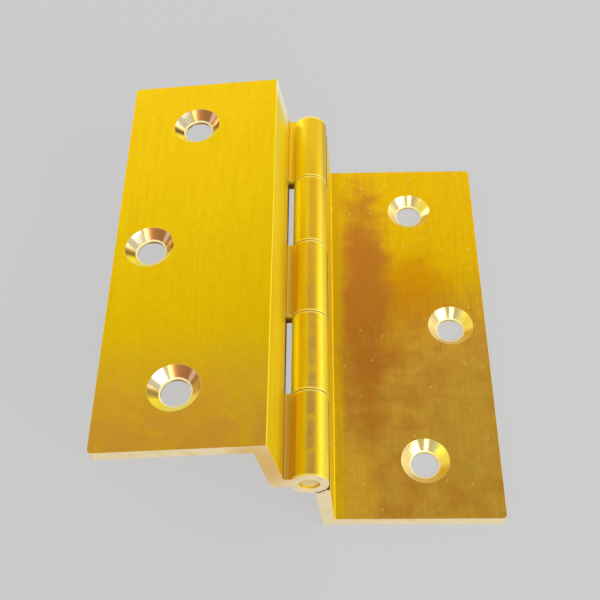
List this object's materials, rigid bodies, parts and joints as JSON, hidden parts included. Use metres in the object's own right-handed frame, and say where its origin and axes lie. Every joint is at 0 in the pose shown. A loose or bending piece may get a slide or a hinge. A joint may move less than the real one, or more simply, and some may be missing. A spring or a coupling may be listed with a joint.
{
  "type": "cranked hinge",
  "caption": "Brass cranked butt hinge: Z-shaped leaves with interlocking knuckles on one pin, drilled and countersunk for wood screws.",
  "frame": {"origin": "on the lower leaf's back face, halfway between its two end screws", "axes": "+Y along the pin, away from the viewer of the picture; +Z out of the lower leaf's countersunk face; +X from the pin to the lower leaf's outer edge"},
  "size_m": [0.0634, 0.075, 0.0277],
  "materials": {
    "upper_leaf": "satin, fine grain along the pin",
    "lower_leaf": "polished, tarnished brown in patches",
    "hinge_pin": "drawn, ends left as cut"
  },
  "bodies": {
    "lower": {"lower_leaf": "lower_leaf"},
    "upper": {"upper_leaf": "upper_leaf", "hinge_pin": "hinge_pin"}
  },
  "joints": [
    {"name": "pin_turn", "type": "hinge", "parent": "lower", "child": "upper", "pos_m": [-0.019, 0, 0.0151], "axis": [0, 1, 0], "range_deg": [-88, 184]}
  ]
}
